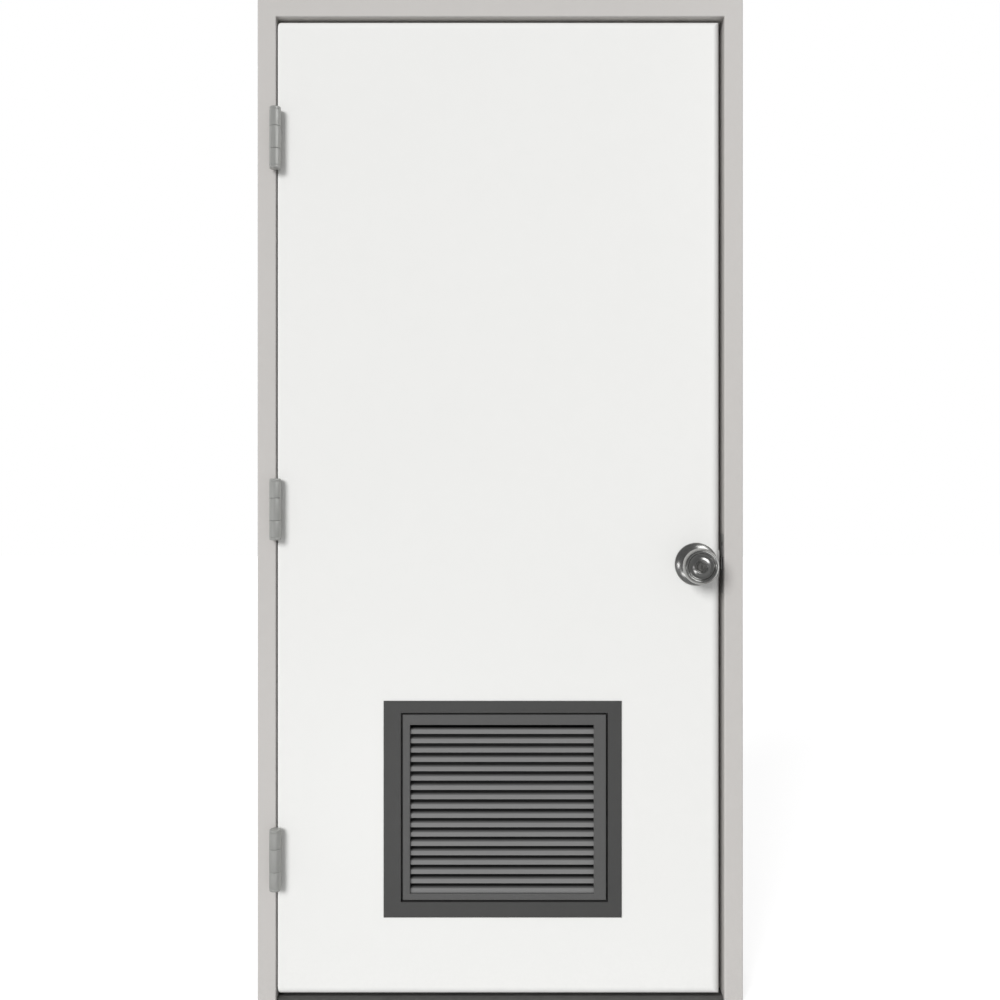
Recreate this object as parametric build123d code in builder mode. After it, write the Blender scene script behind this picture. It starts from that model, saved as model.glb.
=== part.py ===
import os

from build123d import *

os.makedirs("parts", exist_ok=True)

# Prehung steel front door that swings outward, in millimetres.
# X runs to the lock side, Y runs into the house, Z is up.
# The origin is on the floor, under the middle of the threshold.

# Leaf
leaf_width = 914.4
leaf_height = 2011.5
leaf_thickness = 44.45
leaf_skin = 1.0
leaf_lift = 15.5
edge_roll = 17.0
hinge_edge_roll = 6.0
back_edge_roll = 2.5
lock_edge_bevel = 3.0

# Clearances round the leaf
hinge_gap = 2.0
lock_gap = 7.6
head_gap = 6.4
leaf_setback = 2.5
stop_gap = 5.0

# Pressed steel frame
frame_depth = 146.0
face_width = 38.1
frame_sheet = 1.5
bend_radius = 2.4
stop_height = 15.9
backbend = 12.7
anchor_hole_radius = 5.0
anchor_low = 330.0
anchor_drop = 381.5
punch_depth = 6.0

# Hinges, three knuckles each
top_hinge_drop = 247.6
bottom_hinge_lift = 285.5
middle_hinge_drop = 21.5
hinge_height = 114.3
hinge_plate = 3.4
hinge_plate_depth = 36.0
barrel_radius = 12.0
barrel_clearance = 0.6
middle_knuckle = 46.0
knuckle_gap = 0.4
pin_radius = 5.0
pin_fit = 0.05
pin_tip_height = 6.0
pin_tip_radius = 9.5
reinforcement_plate = 4.0
reinforcement_lap = 32.0

# Louver low in the leaf
louver_left = -200.6
louver_width = 418.5
louver_foot = 213.4
louver_height = 381.7
flange_left = 39.8
flange_right = 32.4
flange_top = 28.2
flange_foot = 36.5
flange_plate = 3.5
flange_edge = 2.5
flange_groove = 4.0
groove_depth = 9.0
collar_wall = 1.6
collar_depth = 15.0
lip_reach = 6.0
lip_plate = 1.5
cutout_clearance = 0.4
insert_sheet = 1.5
insert_raise = 3.0
insert_edge = 1.0
insert_left = 14.8
insert_right = 24.7
insert_top = 21.2
insert_foot = 13.4
blade_count = 18
blade_sheet = 1.2
blade_nose = 8.0
blade_rise = 15.0
blade_upstand = 4.5
blade_bend = 2.0
blade_inset = 3.0
blade_headroom = 11.0

# Keyed lock
backset = 50.4
lock_height = 905.0
lock_bore_radius = 27.0
case_radius = 26.7
latch_tube_radius = 11.5
latch_bore_clearance = 0.4
rose_radius = 44.5
rose_rim = 2.5
rose_height = 11.0
rose_hub_radius = 21.0
rose_swell = 1.8
neck_radius = 15.5
neck_clearance = 1.0
neck_length = 20.0
knob_radius = 36.5
knob_projection = 66.0
knob_rim = 6.0
knob_rim_depth = 15.6
knob_rim_crown = 1.2
knob_waist = 1.0
knob_flare = 3.0
dish_radius = 25.5
dish_depth = 5.0
dish_lip = 3.0
dish_fall = 2.0
spindle_radius = 7.0
spindle_fit = 0.08
spindle_grip = 24.0
cylinder_radius = 8.8
cylinder_proud = 2.5
cylinder_length = 12.0
keyway_width = 2.2
keyway_height = 9.0
keyway_depth = 5.0
button_width = 5.0
button_length = 17.0
button_proud = 11.0
face_plate = 2.4
face_plate_width = 25.4
face_plate_height = 57.2
bolt_width = 13.0
bolt_height = 16.0
bolt_clearance = 0.3
bolt_proud = 1.2
bolt_length = 30.0

# Strike
strike_plate_sheet = 2.0
strike_width = 31.8
strike_height = 124.0
strike_box_wall = 1.0
strike_box_depth = 18.0
strike_hole_width = 18.0
strike_hole_height = 26.0

# Threshold and seals
threshold_front = 66.0
threshold_back = 62.0
threshold_height = 9.0
threshold_toe = 3.0
threshold_ramp = 9.0
threshold_step = 30.0
threshold_crown = 12.0
threshold_wall = 3.0
threshold_foot = 32.0
threshold_heel = 16.0
threshold_end_gap = 0.4
flute_count = 6
flute_width = 2.0
flute_depth = 1.0
flute_pitch = 4.4
seal_width = 9.0
seal_gap = 0.5
seal_edge = 2.0

# Floor clips inside the foot of each jamb
clip_sheet = 3.0
clip_width = 34.0
clip_height = 50.0
clip_length = 46.0
clip_hole_radius = 4.5
clip_hole_spacing = 20.0

# Places that follow from the sizes above
opening_width = leaf_width + hinge_gap + lock_gap
opening_height = leaf_lift + leaf_height + head_gap
frame_height = opening_height + face_width
hinge_rabbet = -opening_width / 2
strike_rabbet = opening_width / 2
frame_front = -frame_depth / 2
frame_back = frame_depth / 2
leaf_front = frame_front + leaf_setback
leaf_back = leaf_front + leaf_thickness
leaf_middle = leaf_front + leaf_thickness / 2
leaf_left = hinge_rabbet + hinge_gap
leaf_right = leaf_left + leaf_width
leaf_top = leaf_lift + leaf_height
anchor_high = frame_height - anchor_drop
top_hinge = leaf_top - top_hinge_drop
bottom_hinge = leaf_lift + bottom_hinge_lift
middle_hinge = (top_hinge + bottom_hinge) / 2 - middle_hinge_drop
hinge_heights = {"top": top_hinge, "middle": middle_hinge, "bottom": bottom_hinge}
stop_front = leaf_back + stop_gap
pin_x = hinge_rabbet + hinge_gap / 2
pin_y = frame_front - barrel_radius - barrel_clearance
plate_end = leaf_front + hinge_plate_depth
outer_knuckle = (hinge_height - middle_knuckle) / 2 - knuckle_gap
lock_x = leaf_right - backset


def lock_edge(depth):
    """X of the bevelled lock edge at a depth in the leaf."""
    return leaf_right - lock_edge_bevel * (depth - leaf_front) / leaf_thickness


def save(name, part):
    part.label = name
    export_step(part, f"parts/{name}.step")


def frame_section(plane):
    """Double-rabbet section: local X runs into the wall, local Y through the wall."""
    with BuildSketch(plane) as section:
        with BuildLine():
            Polyline(
                (0, frame_front),
                (0, stop_front),
                (-stop_height, stop_front),
                (-stop_height, -stop_front),
                (0, -stop_front),
                (0, frame_back),
                (face_width, frame_back),
                (face_width, frame_front),
                close=True,
            )
        make_face()
        fillet(section.vertices(), radius=bend_radius)
        offset(amount=-frame_sheet, mode=Mode.SUBTRACT)
        with Locations((face_width, 0)):
            Rectangle(punch_depth, frame_depth - 2 * backbend, mode=Mode.SUBTRACT)
    return section.sketch


hinge_jamb_plane = Plane((hinge_rabbet, 0, 0), x_dir=(-1, 0, 0), z_dir=(0, 0, -1))
strike_jamb_plane = Plane((strike_rabbet, 0, 0), x_dir=(1, 0, 0), z_dir=(0, 0, 1))
head_plane = Plane((0, 0, opening_height), x_dir=(0, 0, 1), z_dir=(-1, 0, 0))
hinge_mitre = Plane((hinge_rabbet, 0, opening_height), x_dir=(0, 1, 0), z_dir=(1, 0, 1))
strike_mitre = Plane((strike_rabbet, 0, opening_height), x_dir=(0, 1, 0), z_dir=(-1, 0, 1))

# Jambs and head, bent from sheet and mitred at the corners
with BuildPart() as hinge_jamb:
    extrude(frame_section(hinge_jamb_plane), amount=-frame_height)
    split(bisect_by=hinge_mitre, keep=Keep.BOTTOM)
    with Locations(*[(hinge_rabbet, frame_front, z) for z in hinge_heights.values()]):
        Box(
            hinge_plate,
            plate_end - frame_front,
            hinge_height,
            align=(Align.MAX, Align.MIN, Align.CENTER),
            mode=Mode.SUBTRACT,
        )
    with Locations(*[(hinge_rabbet + stop_height, 0, z) for z in (anchor_low, anchor_high)]):
        Cylinder(anchor_hole_radius, punch_depth, rotation=(0, 90, 0), mode=Mode.SUBTRACT)
save("hinge_jamb", hinge_jamb.part)

with BuildPart() as strike_jamb:
    extrude(frame_section(strike_jamb_plane), amount=frame_height)
    split(bisect_by=strike_mitre, keep=Keep.BOTTOM)
    with Locations((strike_rabbet, leaf_middle, lock_height)):
        Box(punch_depth, strike_width, strike_height, mode=Mode.SUBTRACT)
    with Locations(*[(strike_rabbet - stop_height, 0, z) for z in (anchor_low, anchor_high)]):
        Cylinder(anchor_hole_radius, punch_depth, rotation=(0, 90, 0), mode=Mode.SUBTRACT)
save("strike_jamb", strike_jamb.part)

with BuildPart() as head:
    extrude(frame_section(head_plane), amount=opening_width / 2 + face_width, both=True)
    split(bisect_by=hinge_mitre, keep=Keep.TOP)
    split(bisect_by=strike_mitre, keep=Keep.TOP)
save("head", head.part)

# Plates welded behind the hinge rabbet, each with a pocket that the hinge seats in
with BuildPart() as hinge_reinforcements:
    with Locations(*[(hinge_rabbet - frame_sheet, plate_end, z) for z in hinge_heights.values()]):
        Box(
            hinge_plate - frame_sheet + reinforcement_plate,
            hinge_plate_depth - bend_radius - frame_sheet,
            hinge_height + 2 * reinforcement_lap,
            align=(Align.MAX, Align.MAX, Align.CENTER),
        )
    with Locations(*[(hinge_rabbet, plate_end, z) for z in hinge_heights.values()]):
        Box(
            hinge_plate,
            hinge_plate_depth,
            hinge_height,
            align=(Align.MAX, Align.MAX, Align.CENTER),
            mode=Mode.SUBTRACT,
        )
save("hinge_reinforcements", hinge_reinforcements.part)

# Hinges: the frame leaf has the outer knuckles, the door leaf the middle one
for place, z in hinge_heights.items():
    knuckle_shift = (hinge_height - outer_knuckle) / 2
    with BuildPart() as hinge_frame_leaf:
        with Locations((hinge_rabbet, frame_front, z)):
            Box(
                hinge_plate,
                plate_end - frame_front,
                hinge_height,
                align=(Align.MAX, Align.MIN, Align.CENTER),
            )
        with Locations(*[(hinge_rabbet, pin_y, z + side * knuckle_shift) for side in (-1, 1)]):
            Box(
                hinge_plate,
                frame_front - pin_y,
                outer_knuckle,
                align=(Align.MAX, Align.MIN, Align.CENTER),
            )
        with Locations(*[(pin_x, pin_y, z + side * knuckle_shift) for side in (-1, 1)]):
            Cylinder(barrel_radius, outer_knuckle)
            Cylinder(pin_radius, outer_knuckle, mode=Mode.SUBTRACT)
    save(f"{place}_hinge_frame_leaf", hinge_frame_leaf.part)

    with BuildPart() as hinge_door_leaf:
        with Locations((leaf_left, frame_front, z)):
            Box(
                hinge_plate,
                plate_end - frame_front,
                hinge_height,
                align=(Align.MIN, Align.MIN, Align.CENTER),
            )
        with Locations((leaf_left, pin_y, z)):
            Box(
                hinge_plate,
                frame_front - pin_y,
                middle_knuckle,
                align=(Align.MIN, Align.MIN, Align.CENTER),
            )
        with Locations((pin_x, pin_y, z)):
            Cylinder(barrel_radius, middle_knuckle)
            Cylinder(pin_radius + pin_fit, middle_knuckle, mode=Mode.SUBTRACT)
    save(f"{place}_hinge_door_leaf", hinge_door_leaf.part)

    with BuildPart() as hinge_pin:
        with Locations((pin_x, pin_y, z)):
            Cylinder(pin_radius, hinge_height)
        tip_shift = (hinge_height + pin_tip_height) / 2
        with Locations(*[(pin_x, pin_y, z + side * tip_shift) for side in (-1, 1)]):
            Cylinder(pin_tip_radius, pin_tip_height)
        fillet(hinge_pin.edges().group_by(Axis.Z)[0], radius=pin_tip_height / 2)
        fillet(hinge_pin.edges().group_by(Axis.Z)[-1], radius=pin_tip_height / 2)
    save(f"{place}_hinge_pin", hinge_pin.part)


# Cuts that the leaf's skins and core share
louver_middle_x = louver_left + louver_width / 2
louver_middle_z = louver_foot + louver_height / 2
collar_out = flange_groove + collar_wall
cutout_width = louver_width + 2 * (collar_out + cutout_clearance)
cutout_height = louver_height + 2 * (collar_out + cutout_clearance)

with BuildPart() as leaf_cuts:
    with Locations((louver_middle_x, leaf_middle, louver_middle_z)):
        Box(cutout_width, 2 * leaf_thickness, cutout_height)
    with Locations((lock_x, leaf_middle, lock_height)):
        Cylinder(lock_bore_radius, 2 * leaf_thickness, rotation=(90, 0, 0))
    with Locations(*[(leaf_left, leaf_front, z) for z in hinge_heights.values()]):
        Box(
            2 * hinge_plate,
            2 * hinge_plate_depth,
            hinge_height,
        )
    with Locations((lock_x, leaf_middle, lock_height)):
        Cylinder(
            latch_tube_radius + latch_bore_clearance,
            backset,
            rotation=(0, 90, 0),
            align=(Align.CENTER, Align.CENTER, Align.MIN),
        )
    with BuildSketch(Plane.XY.offset(lock_height)):
        with BuildLine():
            near = leaf_middle - face_plate_width / 2
            far = leaf_middle + face_plate_width / 2
            Polyline(
                (lock_edge(near) - face_plate, near),
                (lock_edge(near) + face_plate, near),
                (lock_edge(far) + face_plate, far),
                (lock_edge(far) - face_plate, far),
                close=True,
            )
        make_face()
    extrude(amount=face_plate_height / 2, both=True)


def leaf_outline(plane, near, far, inset):
    """Section of the leaf between two depths, with its bevelled lock edge."""
    lock_inset = inset * (leaf_thickness**2 + lock_edge_bevel**2) ** 0.5 / leaf_thickness
    with BuildSketch(plane) as outline:
        with BuildLine():
            Polyline(
                (leaf_left + inset, near),
                (lock_edge(near) - lock_inset, near),
                (lock_edge(far) - lock_inset, far),
                (leaf_left + inset, far),
                close=True,
            )
        make_face()
    return outline.sketch


# Leaf: two steel pans that meet in a seam along the edges, on a honeycomb core
with BuildPart() as leaf_front_skin:
    extrude(leaf_outline(Plane.XY.offset(leaf_lift), leaf_front, leaf_middle, 0), amount=leaf_height)
    front_rim = leaf_front_skin.faces().sort_by(Axis.Y)[0].edges().sort_by(Axis.X)
    fillet(front_rim[1:], radius=edge_roll)
    front_rim = leaf_front_skin.faces().sort_by(Axis.Y)[0].edges().sort_by(Axis.X)
    fillet(front_rim[0], radius=hinge_edge_roll)
    offset(amount=-leaf_skin, openings=leaf_front_skin.faces().sort_by(Axis.Y)[-1])
    add(leaf_cuts.part, mode=Mode.SUBTRACT)
save("leaf_front_skin", leaf_front_skin.part)

with BuildPart() as leaf_back_skin:
    extrude(leaf_outline(Plane.XY.offset(leaf_lift), leaf_middle, leaf_back, 0), amount=leaf_height)
    fillet(leaf_back_skin.faces().sort_by(Axis.Y)[-1].edges(), radius=back_edge_roll)
    offset(amount=-leaf_skin, openings=leaf_back_skin.faces().sort_by(Axis.Y)[0])
    add(leaf_cuts.part, mode=Mode.SUBTRACT)
save("leaf_back_skin", leaf_back_skin.part)

with BuildPart() as leaf_core:
    core_foot = Plane.XY.offset(leaf_lift + leaf_skin)
    core_section = leaf_outline(core_foot, leaf_front + leaf_skin, leaf_back - leaf_skin, leaf_skin)
    extrude(core_section, amount=leaf_height - 2 * leaf_skin)
    core_rim = leaf_core.faces().sort_by(Axis.Y)[0].edges().sort_by(Axis.X)
    fillet(core_rim[1:], radius=edge_roll - leaf_skin)
    core_rim = leaf_core.faces().sort_by(Axis.Y)[0].edges().sort_by(Axis.X)
    fillet(core_rim[0], radius=hinge_edge_roll - leaf_skin)
    fillet(leaf_core.faces().sort_by(Axis.Y)[-1].edges(), radius=back_edge_roll - leaf_skin)
    add(leaf_cuts.part, mode=Mode.SUBTRACT)
save("leaf_core", leaf_core.part)

# Louver flanges: outside with a collar and a lip that the insert sits on, inside a plain frame
louver_middle = (louver_middle_x, leaf_front, louver_middle_z)
louver_front_plane = Plane(louver_middle, x_dir=(1, 0, 0), z_dir=(0, -1, 0))
louver_back_plane = louver_front_plane.offset(-leaf_thickness)
flange_width = louver_width + flange_left + flange_right
flange_height = louver_height + flange_top + flange_foot
flange_shift = ((flange_right - flange_left) / 2, (flange_top - flange_foot) / 2)
opening_w = louver_width - insert_left - insert_right
opening_h = louver_height - insert_top - insert_foot
opening_shift = ((insert_left - insert_right) / 2, (insert_foot - insert_top) / 2)
sleeve_w = opening_w + 2 * insert_sheet
sleeve_h = opening_h + blade_headroom + 2 * insert_sheet
sleeve_shift = (opening_shift[0], opening_shift[1] + blade_headroom / 2)

with BuildPart() as louver_outside_flange:
    with BuildSketch(louver_front_plane):
        with Locations(flange_shift):
            Rectangle(flange_width, flange_height)
        Rectangle(louver_width + 2 * flange_groove, louver_height + 2 * flange_groove, mode=Mode.SUBTRACT)
    extrude(amount=flange_plate)
    fillet(
        louver_outside_flange.faces().sort_by(Axis.Y)[0].outer_wire().edges(),
        radius=flange_edge,
    )
    with BuildSketch(louver_front_plane):
        Rectangle(louver_width + 2 * collar_out, louver_height + 2 * collar_out)
        Rectangle(louver_width + 2 * flange_groove, louver_height + 2 * flange_groove, mode=Mode.SUBTRACT)
    extrude(amount=-collar_depth)
    with BuildSketch(louver_front_plane.offset(-groove_depth)):
        Rectangle(louver_width + 2 * collar_out, louver_height + 2 * collar_out)
        Rectangle(louver_width - 2 * lip_reach, louver_height - 2 * lip_reach, mode=Mode.SUBTRACT)
    extrude(amount=-lip_plate)
save("louver_outside_flange", louver_outside_flange.part)

with BuildPart() as louver_inside_flange:
    with BuildSketch(louver_back_plane):
        with Locations(flange_shift):
            Rectangle(flange_width, flange_height)
        with Locations(sleeve_shift):
            Rectangle(sleeve_w, sleeve_h, mode=Mode.SUBTRACT)
    extrude(amount=-flange_plate)
    fillet(
        louver_inside_flange.faces().sort_by(Axis.Y)[-1].outer_wire().edges(),
        radius=flange_edge,
    )
    with BuildSketch(louver_back_plane):
        Rectangle(louver_width + 2 * collar_out, louver_height + 2 * collar_out)
        Rectangle(louver_width + 2 * flange_groove, louver_height + 2 * flange_groove, mode=Mode.SUBTRACT)
    extrude(amount=collar_depth)
save("louver_inside_flange", louver_inside_flange.part)

# Louver insert: a face rail, a return all round it down to the lip, and a sleeve that holds the blades
with BuildPart() as louver_insert:
    insert_back = louver_front_plane.offset(insert_raise - insert_sheet)
    with BuildSketch(louver_front_plane.offset(insert_raise)):
        Rectangle(louver_width, louver_height)
        with Locations(opening_shift):
            Rectangle(opening_w, opening_h, mode=Mode.SUBTRACT)
    extrude(amount=-insert_sheet)
    with BuildSketch(insert_back):
        Rectangle(louver_width, louver_height)
        Rectangle(louver_width - 2 * insert_sheet, louver_height - 2 * insert_sheet, mode=Mode.SUBTRACT)
    extrude(amount=-(groove_depth + insert_raise - insert_sheet))
    with BuildSketch(insert_back):
        with Locations(sleeve_shift):
            Rectangle(sleeve_w, sleeve_h)
            Rectangle(sleeve_w - 2 * insert_sheet, sleeve_h - 2 * insert_sheet, mode=Mode.SUBTRACT)
    extrude(amount=-(leaf_thickness + flange_plate + insert_raise - insert_sheet))
    fillet(louver_insert.faces().sort_by(Axis.Y)[0].edges(), radius=insert_edge)
save("louver_insert", louver_insert.part)

# Z blades: a nose at the front, a slope that rises inward, and a short upstand behind
blade_pitch = opening_h / blade_count
blade_left = louver_left + insert_left
blade_foot = louver_foot + insert_foot
blade_front = leaf_front + blade_inset
blade_back = leaf_back - blade_inset
with BuildPart() as louver_blades:
    for i in range(blade_count):
        with BuildSketch(Plane.YZ.offset(blade_left)):
            with BuildLine():
                low = blade_foot + i * blade_pitch
                slope_top = low + blade_nose + blade_rise
                FilletPolyline(
                    (blade_front, low),
                    (blade_front, low + blade_nose),
                    (blade_back, slope_top),
                    (blade_back, slope_top + blade_upstand),
                    radius=blade_bend,
                )
            trace(line_width=blade_sheet)
        extrude(amount=opening_w)
save("louver_blades", louver_blades.part)

# Lock: case in a cross bore, latch tube to the edge, a rose and a knob on each side
outside_lock_plane = Plane((lock_x, leaf_front, lock_height), x_dir=(1, 0, 0), z_dir=(0, 0, 1))
inside_lock_plane = Plane((lock_x, leaf_back, lock_height), x_dir=(1, 0, 0), z_dir=(0, 0, -1))
lock_axis = Axis((lock_x, leaf_front, lock_height), (0, 1, 0))

with BuildPart() as lock_case:
    with Locations((lock_x, leaf_middle, lock_height)):
        Cylinder(case_radius, leaf_thickness, rotation=(90, 0, 0))
        Cylinder(
            latch_tube_radius,
            lock_edge(leaf_middle + face_plate_width / 2) - face_plate - lock_x,
            rotation=(0, 90, 0),
            align=(Align.CENTER, Align.CENTER, Align.MIN),
        )
        Cylinder(spindle_radius + spindle_fit, leaf_thickness, rotation=(90, 0, 0), mode=Mode.SUBTRACT)
    with Locations((lock_edge(leaf_middle), leaf_middle, lock_height)):
        Box(
            bolt_length + bolt_clearance,
            bolt_width + 2 * bolt_clearance,
            bolt_height + 2 * bolt_clearance,
            align=(Align.MAX, Align.CENTER, Align.CENTER),
            mode=Mode.SUBTRACT,
        )
save("lock_case", lock_case.part)

with BuildPart() as latch_face_plate:
    with BuildSketch(Plane.XY.offset(lock_height)):
        with BuildLine():
            Polyline(
                (lock_edge(near) - face_plate, near),
                (lock_edge(near), near),
                (lock_edge(far), far),
                (lock_edge(far) - face_plate, far),
                close=True,
            )
        make_face()
    extrude(amount=face_plate_height / 2, both=True)
    with Locations((lock_edge(leaf_middle), leaf_middle, lock_height)):
        Box(
            punch_depth,
            bolt_width + 2 * bolt_clearance,
            bolt_height + 2 * bolt_clearance,
            mode=Mode.SUBTRACT,
        )
save("latch_face_plate", latch_face_plate.part)

with BuildPart() as latch_bolt:
    with Locations((lock_edge(leaf_middle) + bolt_proud, leaf_middle, lock_height)):
        Box(
            bolt_length + bolt_proud,
            bolt_width,
            bolt_height,
            align=(Align.MAX, Align.CENTER, Align.CENTER),
        )
    chamfer(latch_bolt.faces().sort_by(Axis.X)[-1].edges().sort_by(Axis.Y)[-1], length=bolt_width / 2)
save("latch_bolt", latch_bolt.part)


def rose_section(plane):
    """Half section of a domed rose; local X is the radius, local -Y stands out of the leaf."""
    dome_radius = (rose_radius + rose_hub_radius) / 2 + rose_swell
    dome_height = (rose_rim + rose_height) / 2 + rose_swell
    with BuildSketch(plane) as section:
        with BuildLine():
            Polyline(
                (rose_hub_radius, -rose_height),
                (neck_radius + neck_clearance, -rose_height),
                (neck_radius + neck_clearance, 0),
                (rose_radius, 0),
                (rose_radius, -rose_rim),
            )
            ThreePointArc(
                (rose_radius, -rose_rim),
                (dome_radius, -dome_height),
                (rose_hub_radius, -rose_height),
            )
        make_face()
    return section.sketch


def knob_section(plane):
    """Half section of a dished knob with its neck."""
    rim_start = knob_projection - knob_rim_depth
    dish_floor = -knob_projection + dish_depth
    with BuildSketch(plane) as section:
        with BuildLine():
            Polyline((0, 0), (neck_radius, 0), (neck_radius, -neck_length))
            ThreePointArc(
                (neck_radius, -neck_length),
                ((neck_radius + knob_radius) / 2 - knob_waist, -(neck_length + rim_start) / 2 - knob_flare),
                (knob_radius, -rim_start),
            )
            ThreePointArc(
                (knob_radius, -rim_start),
                (knob_radius - knob_rim_crown, -knob_projection + knob_rim),
                (knob_radius - knob_rim, -knob_projection),
            )
            ThreePointArc(
                (knob_radius - knob_rim, -knob_projection),
                (knob_radius - knob_rim - dish_lip, -knob_projection + dish_fall),
                (dish_radius, dish_floor),
            )
            Polyline((dish_radius, dish_floor), (0, dish_floor), (0, 0))
        make_face()
    return section.sketch


with BuildPart() as outside_rose:
    revolve(rose_section(outside_lock_plane), axis=lock_axis)
save("outside_rose", outside_rose.part)

with BuildPart() as inside_rose:
    revolve(rose_section(inside_lock_plane), axis=lock_axis)
save("inside_rose", inside_rose.part)

dish_front = leaf_front - knob_projection + dish_depth
dish_back = leaf_back + knob_projection - dish_depth

with BuildPart() as outside_knob:
    revolve(knob_section(outside_lock_plane), axis=lock_axis)
    with Locations((lock_x, leaf_front, lock_height)):
        Cylinder(spindle_radius, 2 * spindle_grip, rotation=(90, 0, 0), mode=Mode.SUBTRACT)
    with Locations((lock_x, dish_front, lock_height)):
        seat_length = 2 * (cylinder_length - cylinder_proud)
        Cylinder(cylinder_radius, seat_length, rotation=(90, 0, 0), mode=Mode.SUBTRACT)
save("outside_knob", outside_knob.part)

with BuildPart() as inside_knob:
    revolve(knob_section(inside_lock_plane), axis=lock_axis)
    with Locations((lock_x, leaf_back, lock_height)):
        Cylinder(spindle_radius, 2 * spindle_grip, rotation=(90, 0, 0), mode=Mode.SUBTRACT)
save("inside_knob", inside_knob.part)

with BuildPart() as knob_spindle:
    with Locations((lock_x, leaf_middle, lock_height)):
        Cylinder(spindle_radius, leaf_thickness + 2 * spindle_grip, rotation=(90, 0, 0))
save("knob_spindle", knob_spindle.part)

with BuildPart() as key_cylinder:
    with Locations((lock_x, dish_front - cylinder_proud, lock_height)):
        Cylinder(
            cylinder_radius,
            cylinder_length,
            rotation=(-90, 0, 0),
            align=(Align.CENTER, Align.CENTER, Align.MIN),
        )
        Box(keyway_width, 2 * keyway_depth, keyway_height, mode=Mode.SUBTRACT)
save("key_cylinder", key_cylinder.part)

with BuildPart() as turn_button:
    with Locations((lock_x, dish_back, lock_height)):
        Box(
            button_width,
            button_proud,
            button_length,
            align=(Align.CENTER, Align.MIN, Align.CENTER),
        )
    fillet(turn_button.edges().filter_by(Axis.Y), radius=button_width / 3)
save("turn_button", turn_button.part)

# Strike plate flush in the strike jamb, with a dust box behind it
with BuildPart() as strike_plate:
    with Locations((strike_rabbet, leaf_middle, lock_height)):
        Box(
            strike_plate_sheet,
            strike_width,
            strike_height,
            align=(Align.MIN, Align.CENTER, Align.CENTER),
        )
        Box(punch_depth, strike_hole_width, strike_hole_height, mode=Mode.SUBTRACT)
save("strike_plate", strike_plate.part)

strike_seat = strike_rabbet + strike_plate_sheet
with BuildPart() as strike_box:
    with Locations((strike_seat, leaf_middle, lock_height)):
        Box(
            strike_box_wall,
            strike_width,
            strike_height,
            align=(Align.MIN, Align.CENTER, Align.CENTER),
        )
        Box(
            strike_box_depth,
            strike_hole_width + 2 * strike_box_wall,
            strike_hole_height + 2 * strike_box_wall,
            align=(Align.MIN, Align.CENTER, Align.CENTER),
        )
        Box(
            strike_box_depth - strike_box_wall,
            strike_hole_width,
            strike_hole_height,
            align=(Align.MIN, Align.CENTER, Align.CENTER),
            mode=Mode.SUBTRACT,
        )
save("strike_box", strike_box.part)

# Threshold: fluted tread, raised bumper step behind the leaf, hollow underneath
with BuildPart() as threshold:
    with BuildSketch(Plane.YZ) as threshold_section:
        with BuildLine():
            Polyline(
                (-threshold_front, 0),
                (-threshold_front, threshold_toe),
                (-threshold_front + threshold_ramp, threshold_height),
                (stop_front, threshold_height),
                (stop_front, threshold_step),
                (stop_front + threshold_crown, threshold_step),
                (threshold_back, threshold_toe),
                (threshold_back, 0),
                close=True,
            )
        make_face()
        with Locations((-threshold_front + threshold_ramp, 0)):
            Rectangle(
                threshold_front - threshold_ramp - threshold_foot / 2,
                threshold_height - threshold_wall,
                align=(Align.MIN, Align.MIN),
                mode=Mode.SUBTRACT,
            )
        with BuildLine():
            heel_start = threshold_foot / 2
            heel_end = threshold_back - threshold_heel
            crown_end = stop_front + threshold_crown
            fall = (threshold_step - threshold_toe) / (threshold_back - crown_end)
            Polyline(
                (heel_start, 0),
                (heel_start, threshold_step - fall * (heel_start - crown_end) - threshold_wall),
                (heel_end, threshold_step - fall * (heel_end - crown_end) - threshold_wall),
                (heel_end, 0),
                close=True,
            )
        make_face(mode=Mode.SUBTRACT)
        tread_middle = (-threshold_front + threshold_ramp + stop_front) / 2
        with Locations((tread_middle, threshold_height)):
            with GridLocations(flute_pitch, 0, flute_count, 1):
                Rectangle(flute_width, 2 * flute_depth, mode=Mode.SUBTRACT)
    extrude(amount=opening_width / 2 - threshold_end_gap, both=True)
    with Locations((hinge_rabbet, 0, 0), (strike_rabbet, 0, 0)):
        Box(
            2 * (stop_height + threshold_end_gap),
            -2 * stop_front + 2 * bend_radius,
            4 * threshold_step,
            mode=Mode.SUBTRACT,
        )
save("threshold", threshold.part)

# Bulb seals on the stops and on the threshold's step
seal_height = stop_gap - seal_gap


def seal_section(plane):
    """Bulb seal: local X along the stop, local -Y towards the leaf."""
    with BuildSketch(plane) as section:
        Rectangle(seal_width, seal_height, align=(Align.CENTER, Align.MAX))
        fillet(section.vertices().group_by(Axis.Y)[0], radius=seal_edge)
    return section.sketch


seal_inset = stop_height / 2
seal_foot = threshold_step + seal_edge
seal_top = opening_height - stop_height / 2 - seal_width / 2 - seal_gap

with BuildPart() as hinge_seal:
    hinge_seal_plane = Plane((hinge_rabbet + seal_inset, stop_front, seal_foot))
    extrude(seal_section(hinge_seal_plane), amount=seal_top - seal_foot)
save("hinge_seal", hinge_seal.part)

with BuildPart() as strike_seal:
    strike_seal_plane = Plane((strike_rabbet - seal_inset, stop_front, seal_foot))
    extrude(seal_section(strike_seal_plane), amount=seal_top - seal_foot)
save("strike_seal", strike_seal.part)

with BuildPart() as head_seal:
    head_seal_plane = Plane((0, stop_front, opening_height - seal_inset), x_dir=(0, 0, -1), z_dir=(1, 0, 0))
    extrude(seal_section(head_seal_plane), amount=opening_width / 2 - bend_radius - seal_gap, both=True)
save("head_seal", head_seal.part)

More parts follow.
